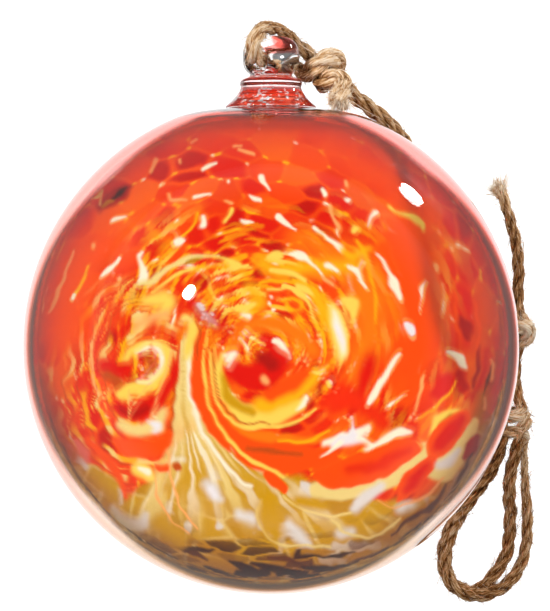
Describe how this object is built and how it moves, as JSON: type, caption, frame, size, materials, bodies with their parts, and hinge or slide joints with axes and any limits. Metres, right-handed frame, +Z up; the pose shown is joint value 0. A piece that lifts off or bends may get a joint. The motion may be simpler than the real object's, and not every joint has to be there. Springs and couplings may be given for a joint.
{
  "type": "glass float ball",
  "caption": "Blown glass float ball of swirled orange and amber colour, lying on its side, with a pierced clear glass hanger and a knotted jute hanging cord.",
  "frame": {"origin": "centre of the small flat spot on the ball's underside, on the surface that it lies on", "axes": "+Z up, +Y along the ball's own axis from its underside through the glass hanger, +X to the side where the cord's loop lies"},
  "size_m": [0.1604, 0.1835, 0.1493],
  "materials": {
    "coloured_glass": "gloss",
    "clear_glass": "gloss",
    "jute": "rough twisted fibre"
  },
  "bodies": {
    "root": {"glass_ball": "coloured_glass", "hanging_knob": "clear_glass", "rope_eye": "jute", "rope_eye_knot": "jute", "rope_tail": "jute", "rope_run": "jute", "rope_hitch": "jute", "rope_turn_outer": "jute", "rope_turn_inner": "jute", "rope_end_low": "jute", "rope_end_knot": "jute", "rope_end_high": "jute"}
  },
  "joints": []
}
